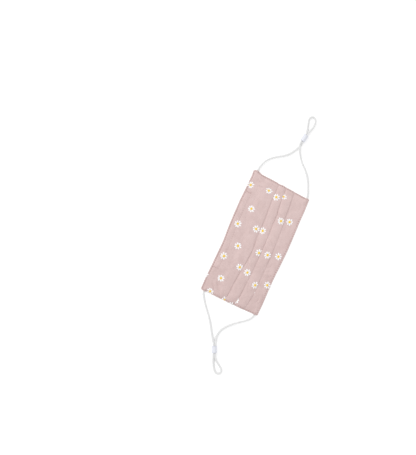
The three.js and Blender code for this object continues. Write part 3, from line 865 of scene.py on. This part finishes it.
def gridFaces(start, rows, columns, kept):
    faces = []
    for r in range(rows - 1):
        for c in range(columns - 1):
            a = r * columns + c
            corners = (a, a + columns, a + columns + 1, a + 1)
            if any(kept[corner] for corner in corners):
                faces.append(tuple(start + corner for corner in reversed(corners)))
    return faces


def centreGrid(draw):
    shape = daisyShape
    rings, sides = 7, 20
    radius = np.linspace(0.04, 1, rings)[:, None]
    angle = np.arange(sides + 1)[None] * 2 * math.pi / sides
    wobble = 1 + 0.06 * np.sin(3 * angle + draw.uniform(0, 6)) + 0.04 * np.sin(5 * angle)
    across = shape["centreWidth"] * radius * wobble
    wide, high = shape["centreOval"]
    offsets = np.stack([across * np.cos(angle) * wide, across * np.sin(angle) * high], -1)
    dome = np.sqrt(1 - (radius * 0.985) ** 2) * np.ones_like(angle)
    knots = shape["knotHeight"] * np.cos(angle * 5 + 4 * radius) * np.sin(math.pi * radius * 2.5) ** 2
    heights = shape["centreHeight"] * dome + knots * (radius < 0.99)
    return offsets.reshape(-1, 2), heights.reshape(-1), (rings, sides + 1)


def tailGrid(side):
    # A loose yellow thread over a petal, from the daisy's middle.
    shape = daisyShape
    radius, steps, sides = shape["tailRadius"], 10, 6
    share = np.linspace(0, 1, steps)[:, None]
    angle = np.arange(sides + 1)[None] * 2 * math.pi / sides
    lengthways = -side * (shape["tailStart"] + shape["tailReach"] * share) * np.ones_like(angle)
    sideways = shape["tailBow"] * np.sin(share * 3) + radius * np.cos(angle)
    offsets = np.stack([sideways, lengthways], -1)
    arch = np.sin(math.pi * (0.2 + 0.75 * share)) ** 0.5
    heights = shape["tailHeight"] * arch + radius * np.sin(angle)
    return offsets.reshape(-1, 2), heights.reshape(-1), (steps, sides + 1)


def makeDaisies():
    draw = random.Random(11)
    parts = {"petals": ([], [], []), "centres": ([], [], [])}

    def put(kind, daisy, grid):
        offsets, heights, (rows, columns) = grid
        points, faces, uvs = parts[kind]
        places, kept = fromDaisy(daisy, offsets, heights)
        faces.extend(gridFaces(len(points), rows, columns, kept))
        points.extend(places)
        u, v = np.meshgrid(np.linspace(0, 1, rows), np.linspace(0, 1, columns), indexing="ij")
        uvs.extend(np.stack([u, v], -1).reshape(-1, 2))

    for x, y, strip, turn, tail in daisyChart:
        daisy = findDaisy(x, y, strip, turn)
        for petal in range(daisyShape["petals"]):
            put("petals", daisy, petalGrid(draw, daisy, petal))
        put("centres", daisy, centreGrid(draw))
        if tail:
            put("centres", daisy, tailGrid(tail))
    pieces = []
    for kind, (points, faces, uvs) in parts.items():
        used = sorted({corner for face in faces for corner in face})
        index = {old: new for new, old in enumerate(used)}
        faces = [tuple(index[corner] for corner in face) for face in faces]
        points = np.array(points)[used]
        points[:, 2] = np.maximum(points[:, 2], threadClearance)
        piece = newPiece(f"daisy_{kind}", points * mm, faces, np.array(uvs)[used])
        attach(piece, "root")
        pieces.append(piece)
    return pieces


daisyPetals, daisyCentres = makeDaisies()
print(f"daisies: {len(daisyPetals.data.polygons) + len(daisyCentres.data.polygons)} faces")

# Topstitching: short thread lengths that dip into the cloth at both ends.
stitchShape = {
    "length": 2.5,
    "pitch": 3.3,
    "radius": 0.24,
    "rise": 0.10,
    "dip": 0.28,  # how deep its ends go into the cloth
    "taper": 0.45,
    "fine": 0.7,  # size of the channel's stitches
    "fromCorner": 3.0,  # where the long seams start
    "sides": 6,
    "rings": 5,
}
# Bar tacks close the channel's ends.
barTacks = {"rows": 3, "start": 2.6, "pitch": 2.7, "length": 2.4, "lean": 0.2, "apart": 0.9}
endStitches = {"start": 2.5, "clearOfFold": 0.4, "gap": 0.3, "shorter": 0.8}


def makeStitching():
    shape = stitchShape
    points, faces = [], []
    half, inset = cloth["halfLength"], cloth["seamInset"]
    fullArc = surface["arc"][:, -1]

    def sew(start, end, side, size=1.0):
        # One stitch between two (table X, arc) places.
        share = np.linspace(0, 1, shape["rings"])
        x = start[0] + (end[0] - start[0]) * share
        arc = start[1] + (end[1] - start[1]) * share
        places, normals = clothPoints(x, arc, side)
        heading = places[-1] - places[0]
        heading /= np.linalg.norm(heading)
        towardsEnds = (2 * share - 1) ** 4
        lift = shape["rise"] * (3 * size - 2) - shape["dip"] * towardsEnds
        girth = size * shape["radius"] * (1 - shape["taper"] * towardsEnds)
        faces.extend(tubeFaces(shape["rings"], shape["sides"], len(points)))
        for place, normal, up, wide in zip(places, normals, lift, girth):
            across = np.cross(normal, heading)
            across /= np.linalg.norm(across)
            for step in range(shape["sides"]):
                angle = step * 2 * math.pi / shape["sides"]
                around = across * math.cos(angle) + normal * math.sin(angle)
                points.append(place + normal * up + around * wide)

    def sewLine(fromX, toX, arcAt, side, size=1.0):
        count = int((toX - fromX) / shape["pitch"])
        for stitch in range(count):
            x = fromX + stitch * shape["pitch"]
            end = x + shape["length"]
            sew((x, arcAt(x)), (end, arcAt(end)), side, size)

    def chinArc(x):
        return np.interp(x, surface["tableX"], fullArc) - inset

    seamEnd = half - shape["fromCorner"]
    low, high = cloth["channelEnds"]
    for side in ("front", "back"):
        sewLine(-seamEnd, seamEnd, lambda x: inset, side)
        sewLine(-seamEnd, seamEnd, chinArc, side)
        sewLine(low, high, lambda x: cloth["channelInset"], side, shape["fine"])
        for x in (low, low + barTacks["apart"], high, high + barTacks["apart"]):
            for row in range(barTacks["rows"]):
                arc = barTacks["start"] + row * barTacks["pitch"]
                over = (x + barTacks["lean"], arc + barTacks["length"])
                sew((x, arc), over, side, shape["fine"])
    marks, margin = surface["marks"], endStitches["start"]
    for end in (-1, 1):  # across the pleats along the short edges
        x = end * (half - inset)
        column = int(round(np.interp(x, surface["tableX"], np.arange(surface["columns"]))))
        arcs = surface["arc"][column]
        spans = [(margin, arcs[marks["topEnd1"]])]
        for strip in (1, 2, 3):
            seen = surface["front"][column, marks[f"bottomStart{strip}"]:, 1]
            fold = surface["front"][column, marks[f"topEnd{strip}"] + halfFold, 1]
            hidden = int(np.argmax(seen < fold - endStitches["clearOfFold"]))
            first = marks[f"bottomStart{strip}"] + hidden
            last = arcs[marks[f"topEnd{strip + 1}"]] if strip < 3 else arcs[-1] - margin
            spans.append((arcs[first], last))
        for low, high in spans:
            count = max(1, int(round((high - low) / shape["pitch"])))
            pitch = (high - low) / count
            for stitch in range(count):
                arc = low + stitch * pitch + endStitches["gap"]
                sew((x, arc), (x, arc + pitch - endStitches["shorter"]), "front")
    points = np.array(points)
    points[:, 2] = np.maximum(points[:, 2], threadClearance)
    piece = newPiece("topstitching", points * mm, faces)
    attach(piece, "root")
    return piece


topstitching = makeStitching()
print(f"topstitching: {len(topstitching.data.polygons)} faces")


def addNode(tree, kind, inputs=None, **settings):
    node = tree.nodes.new(kind)
    for key, value in settings.items():
        setattr(node, key, value)
    for key, value in (inputs or {}).items():
        if isinstance(value, bpy.types.NodeSocket):
            tree.links.new(value, node.inputs[key])
        else:
            node.inputs[key].default_value = value
    return node


def calc(tree, operation, *values):
    return addNode(tree, "ShaderNodeMath", dict(enumerate(values)), operation=operation).outputs[0]


def addShare(tree, base, extra, share):
    return calc(tree, "ADD", base, calc(tree, "MULTIPLY", extra, share))


def newGroup(name, inputs, outputs):
    group = bpy.data.node_groups.new(name, "ShaderNodeTree")
    for label, kind, value in inputs:
        socket = group.interface.new_socket(name=label, in_out="INPUT", socket_type=kind)
        if value is not None:
            socket.default_value = value
    for label, kind in outputs:
        group.interface.new_socket(name=label, in_out="OUTPUT", socket_type=kind)
    return group, group.nodes.new("NodeGroupInput").outputs, group.nodes.new("NodeGroupOutput").inputs


def placeGroup(tree, group, **inputs):
    return addNode(tree, "ShaderNodeGroup", inputs, node_tree=group).outputs


def surfacePlace(tree, layer="surface"):
    # Places on a piece's own unwrapped surface, and their parts.
    place = addNode(tree, "ShaderNodeUVMap", uv_map=layer).outputs[0]
    return place, addNode(tree, "ShaderNodeSeparateXYZ", {0: place}).outputs


def stretched(tree, place, factors):
    return addNode(tree, "ShaderNodeVectorMath", {0: place, 1: factors}, operation="MULTIPLY").outputs[0]


def noiseAt(tree, place, scale, detail, **more):
    inputs = {"Vector": place, "Scale": scale, "Detail": detail, **more}
    return addNode(tree, "ShaderNodeTexNoise", inputs).outputs["Fac"]


def bumpFrom(tree, height, strength, distance, **more):
    inputs = {"Height": height, "Strength": strength, "Distance": distance, **more}
    return addNode(tree, "ShaderNodeBump", inputs).outputs[0]


def makeWeaveGroup():
    # A plain weave: yarns over and under each other, each a little different.
    group, given, result = newGroup(
        "plainWeave",
        [("Vector", "NodeSocketVector", None), ("Pitch", "NodeSocketFloat", 0.0005)],
        [("Height", "NodeSocketFloat"), ("Slub", "NodeSocketFloat")],
    )
    parts = addNode(group, "ShaderNodeSeparateXYZ", {0: given["Vector"]}).outputs
    waves = []
    for axis in (0, 1):
        turns = calc(group, "DIVIDE", parts[axis], given["Pitch"])
        waves.append(calc(group, "SINE", calc(group, "MULTIPLY", turns, math.pi)))
    over = calc(group, "GREATER_THAN", calc(group, "MULTIPLY", *waves), 0.0)
    heights = [calc(group, "ABSOLUTE", wave) for wave in waves]
    picked = addNode(group, "ShaderNodeMix", {"Factor": over, "A": heights[0], "B": heights[1]},
                     data_type="FLOAT").outputs["Result"]
    slubs = []
    for factors in ((0.12, 1.0, 1.0), (1.0, 0.12, 1.0)):  # along each set of yarns
        slubs.append(noiseAt(group, stretched(group, given["Vector"], factors), 1400.0, 2.0))
    group.links.new(picked, result["Height"])
    group.links.new(calc(group, "MULTIPLY", calc(group, "ADD", *slubs), 0.5), result["Slub"])
    return group


def makeFuzzGroup():
    # Fine fibre and a slow change of shade, for every thread and cloth.
    group, given, result = newGroup(
        "fibreFuzz",
        [("Vector", "NodeSocketVector", None), ("Fineness", "NodeSocketFloat", 2500.0)],
        [("Fibre", "NodeSocketFloat"), ("Shade", "NodeSocketFloat")],
    )
    group.links.new(noiseAt(group, given["Vector"], given["Fineness"], 3.0), result["Fibre"])
    group.links.new(noiseAt(group, given["Vector"], 90.0, 4.0), result["Shade"])
    return group


weaveGroup, fuzzGroup = makeWeaveGroup(), makeFuzzGroup()


def linear(red, green, blue):
    # Screen colour from 0 to 255 to scene light.
    values = (value / 255 for value in (red, green, blue))
    return tuple(v / 12.92 if v <= 0.04045 else ((v + 0.055) / 1.055) ** 2.4 for v in values) + (1.0,)


def newMaterial(name, **shine):
    material = bpy.data.materials.new(name)
    material.use_nodes = True
    shader = material.node_tree.nodes["Principled BSDF"]
    for key, value in shine.items():
        shader.inputs[key.replace("_", " ")].default_value = value
    return material, material.node_tree


def finishMaterial(material, colour, normal):
    tree = material.node_tree
    shader = tree.nodes["Principled BSDF"]
    tree.links.new(colour, shader.inputs["Base Color"])
    tree.links.new(normal, shader.inputs["Normal"])
    return material


def shadeBetween(tree, factor, span, dark, light):
    # Blends two colours as a factor goes from one end of its span to the other.
    ranged = addNode(tree, "ShaderNodeMapRange",
                     {"Value": factor, "From Min": span[0], "From Max": span[1]}).outputs[0]
    return addNode(tree, "ShaderNodeMix", {"Factor": ranged, "A": dark, "B": light},
                   data_type="RGBA").outputs[2]


def darken(tree, colour, shade):
    return addNode(tree, "ShaderNodeMix", {"Factor": 1.0, "A": colour, "B": shade},
                   data_type="RGBA", blend_type="MULTIPLY").outputs[2]


def fuzzAt(tree, fineness):
    place = addNode(tree, "ShaderNodeTexCoord").outputs["Object"]
    return placeGroup(tree, fuzzGroup, Vector=place, Fineness=fineness)


clothFinish = {
    "light": (223, 199, 196),
    "dark": (212, 187, 184),
    "span": (0.38, 0.62),
    "slubShare": 0.6,
    "shadeShare": 0.4,
    "fibreShare": 0.6,
    "paintedLightDrift": 0.6,  # painted light: lighter towards the +X end
    "gapPaintedShade": (0.86, 0.84, 0.84, 1),
    "edgePaintedShade": 0.87,
    "paintedShadeReaches": (0.0028, 0.0014),  # from the short and the long edges
    "yarnPitch": 0.00052,
    "fineness": 3000.0,
    "weaveBump": 0.35,
    "weaveDepth": 0.00012,
    "rumpleStretch": (0.34, 1.0, 1.0),
    "rumpleScale": 190.0,
    "rumpleDepth": 0.0008,
    "roughness": 0.92,
    "sheen": 0.15,
}


def makeClothMaterial():
    look = clothFinish
    material, tree = newMaterial("dustyPinkCotton", Roughness=look["roughness"], Sheen_Weight=look["sheen"])
    place, parts = surfacePlace(tree)
    weave = placeGroup(tree, weaveGroup, Vector=place, Pitch=look["yarnPitch"])
    fuzz = fuzzAt(tree, look["fineness"])
    tone = calc(tree, "MULTIPLY", weave["Slub"], look["slubShare"])
    tone = addShare(tree, tone, fuzz["Shade"], look["shadeShare"])
    # Painted light: the tone rises towards the +X end of the cloth.
    tone = addShare(tree, tone, parts[0], look["paintedLightDrift"])
    colour = shadeBetween(tree, tone, look["span"], linear(*look["dark"]), linear(*look["light"]))
    # Painted shade: the cloth is darker in the low places between the yarns of the weave.
    gaps = shadeBetween(tree, weave["Height"], (0.0, 0.5), look["gapPaintedShade"], (1, 1, 1, 1))
    colour = darken(tree, colour, gaps)
    # Painted shade: the cloth is darker near all its edges, most at the short edges' rolled rims.
    _, fromEdges = surfacePlace(tree, "hem")
    shades = []
    for distance, reach in zip(fromEdges, look["paintedShadeReaches"]):
        inputs = {"Value": distance, "From Max": reach, "To Min": look["edgePaintedShade"], "To Max": 1.0}
        shades.append(addNode(tree, "ShaderNodeMapRange", inputs).outputs[0])
    colour = darken(tree, colour, calc(tree, "MINIMUM", *shades))
    rumple = noiseAt(tree, stretched(tree, place, look["rumpleStretch"]), look["rumpleScale"], 3.0,
                     Roughness=0.45)
    soft = bumpFrom(tree, rumple, 1.0, look["rumpleDepth"])
    relief = addShare(tree, weave["Height"], fuzz["Fibre"], look["fibreShare"])
    return finishMaterial(material, colour,
                          bumpFrom(tree, relief, look["weaveBump"], look["weaveDepth"], Normal=soft))


threadFinish = {
    "stitch": ((184, 149, 146), (160, 126, 123)),
    "petal": ((255, 255, 255), (247, 248, 251)),
    "centre": ((252, 215, 60), (244, 196, 42)),
    "petalThreads": 9.0,
    "fibreShare": 0.5,
    "span": (0.25, 0.75),
    "fineness": 3600.0,
    "bump": (0.5, 0.0001),  # strength and depth
}


def makeThreadMaterial(name, colours, strands):
    look = threadFinish
    material, tree = newMaterial(name, Roughness=0.78, Sheen_Weight=0.2)
    relief = fuzzAt(tree, look["fineness"])["Fibre"]
    if strands:  # satin stitches run along each petal; the colour below gives the grooves between them a slight painted shade
        across = surfacePlace(tree)[1][1]
        wave = calc(tree, "ABSOLUTE", calc(tree, "SINE", calc(tree, "MULTIPLY", across, strands * math.pi)))
        relief = addShare(tree, wave, relief, look["fibreShare"])
    light, dark = colours
    colour = shadeBetween(tree, relief, look["span"], linear(*dark), linear(*light))
    return finishMaterial(material, colour, bumpFrom(tree, relief, *look["bump"]))


elasticFinish = {
    "light": (234, 234, 234),
    "dark": (219, 219, 219),
    "span": (0.2, 0.9),
    "loopsAround": 7.0,
    "loopPitch": 0.0011,
    "loopShare": 0.7,
    "fibreShare": 0.6,
    "fineness": 3600.0,
    "bump": (0.55, 0.00015),
}


def makeElasticMaterial():
    look = elasticFinish
    material, tree = newMaterial("knittedElastic", Roughness=0.85, Sheen_Weight=0.25)
    _, parts = surfacePlace(tree)
    fuzz = fuzzAt(tree, look["fineness"])
    lengthways = calc(tree, "MULTIPLY", calc(tree, "DIVIDE", parts[0], look["loopPitch"]), math.pi)
    around = calc(tree, "MULTIPLY", parts[1], look["loopsAround"] * 2 * math.pi)
    # Slanting loops, one way and the other in turn.
    slant = calc(tree, "SINE", calc(tree, "ADD", lengthways, calc(tree, "SINE", around)))
    loops = calc(tree, "MULTIPLY", calc(tree, "ABSOLUTE", slant), look["loopShare"])
    relief = addShare(tree, loops, fuzz["Fibre"], look["fibreShare"])
    # Painted shade: the colour follows the relief, darker in the valleys between the loops.
    colour = shadeBetween(tree, relief, look["span"], linear(*look["dark"]), linear(*look["light"]))
    return finishMaterial(material, colour, bumpFrom(tree, relief, *look["bump"]))


siliconeFinish = {
    "middle": (229, 231, 238),
    "rim": (205, 207, 221),
    "sidePower": 2.5,
    "rimPower": 7.0,
    "cloudScale": 220.0,
    "cloudShare": 0.5,
    "grainScale": 1500.0,
    "bump": (0.12, 0.0001),
}


def makeSiliconeMaterial():
    look = siliconeFinish
    material, tree = newMaterial("milkySilicone", Roughness=0.35, IOR=1.41, Coat_Weight=0.15)
    place = addNode(tree, "ShaderNodeTexCoord").outputs["Object"]
    # Painted in place of translucency: lighter in the middle, where the cord inside would show through the
    # milky silicone, and darker at the sides and the rims.
    _, parts = surfacePlace(tree)
    side = calc(tree, "POWER", calc(tree, "ABSOLUTE", parts[0]), look["sidePower"])
    rims = calc(tree, "POWER", calc(tree, "ABSOLUTE", parts[1]), look["rimPower"])
    cloud = calc(tree, "SUBTRACT", noiseAt(tree, place, look["cloudScale"], 3.0), 0.5)
    depth = addShare(tree, calc(tree, "MAXIMUM", side, rims), cloud, look["cloudShare"])
    colour = shadeBetween(tree, depth, (0.0, 1.0), linear(*look["middle"]), linear(*look["rim"]))
    grain = noiseAt(tree, place, look["grainScale"], 2.0)
    return finishMaterial(material, colour, bumpFrom(tree, grain, *look["bump"]))


def dress(piece, material):
    piece.data.materials.clear()
    piece.data.materials.append(material)


dress(pleatedCloth, makeClothMaterial())
dress(topstitching, makeThreadMaterial("pinkThread", threadFinish["stitch"], 0))
strands = threadFinish["petalThreads"]
dress(daisyPetals, makeThreadMaterial("whiteEmbroidery", threadFinish["petal"], strands))
dress(daisyCentres, makeThreadMaterial("yellowEmbroidery", threadFinish["centre"], 0))
elastic, silicone = makeElasticMaterial(), makeSiliconeMaterial()
for ear, (cord, path, length) in cords.items():
    dress(cord, elastic)
    dress(stoppers[ear], silicone)
print("materials made")

# A white ground and soft light from all round, a little stronger from the nose side.
studio = {
    "groundSize": 6.0,
    "groundColour": (250, 250, 250),
    "groundGlow": 0.16,  # the ground is a light table
    "skyStrength": 0.875,
    "keyPlace": (1.1, 2.35, 1.9),
    "keySize": 2.4,
    "keyPower": 31.0,
}


def makeStudio(look):
    half = look["groundSize"] / 2
    corners = [(-half, -half, 0), (half, -half, 0), (half, half, 0), (-half, half, 0)]
    ground = newPiece("studioGround", corners, [(0, 1, 2, 3)], smooth=False)
    material, _ = newMaterial(
        "whiteGround", Roughness=0.95, Base_Color=linear(*look["groundColour"]),
        Emission_Color=(1, 1, 1, 1), Emission_Strength=look["groundGlow"],
    )
    dress(ground, material)
    world = bpy.data.worlds.new("softSky")
    world.use_nodes = True
    sky = world.node_tree.nodes["Background"].inputs
    sky["Color"].default_value = (1, 1, 1, 1)
    sky["Strength"].default_value = look["skyStrength"]
    bpy.context.scene.world = world
    data = bpy.data.lights.new("softbox", "AREA")
    data.shape = "DISK"
    data.size = look["keySize"]
    data.energy = look["keyPower"]
    lamp = bpy.data.objects.new("softbox", data)
    lamp.location = look["keyPlace"]
    lamp.rotation_mode = "QUATERNION"
    lamp.rotation_quaternion = (-Vector(look["keyPlace"])).to_track_quat("-Z", "Y")
    bpy.context.scene.collection.objects.link(lamp)
    bpy.context.scene.view_settings.view_transform = "Standard"


makeStudio(studio)
print("studio lit")
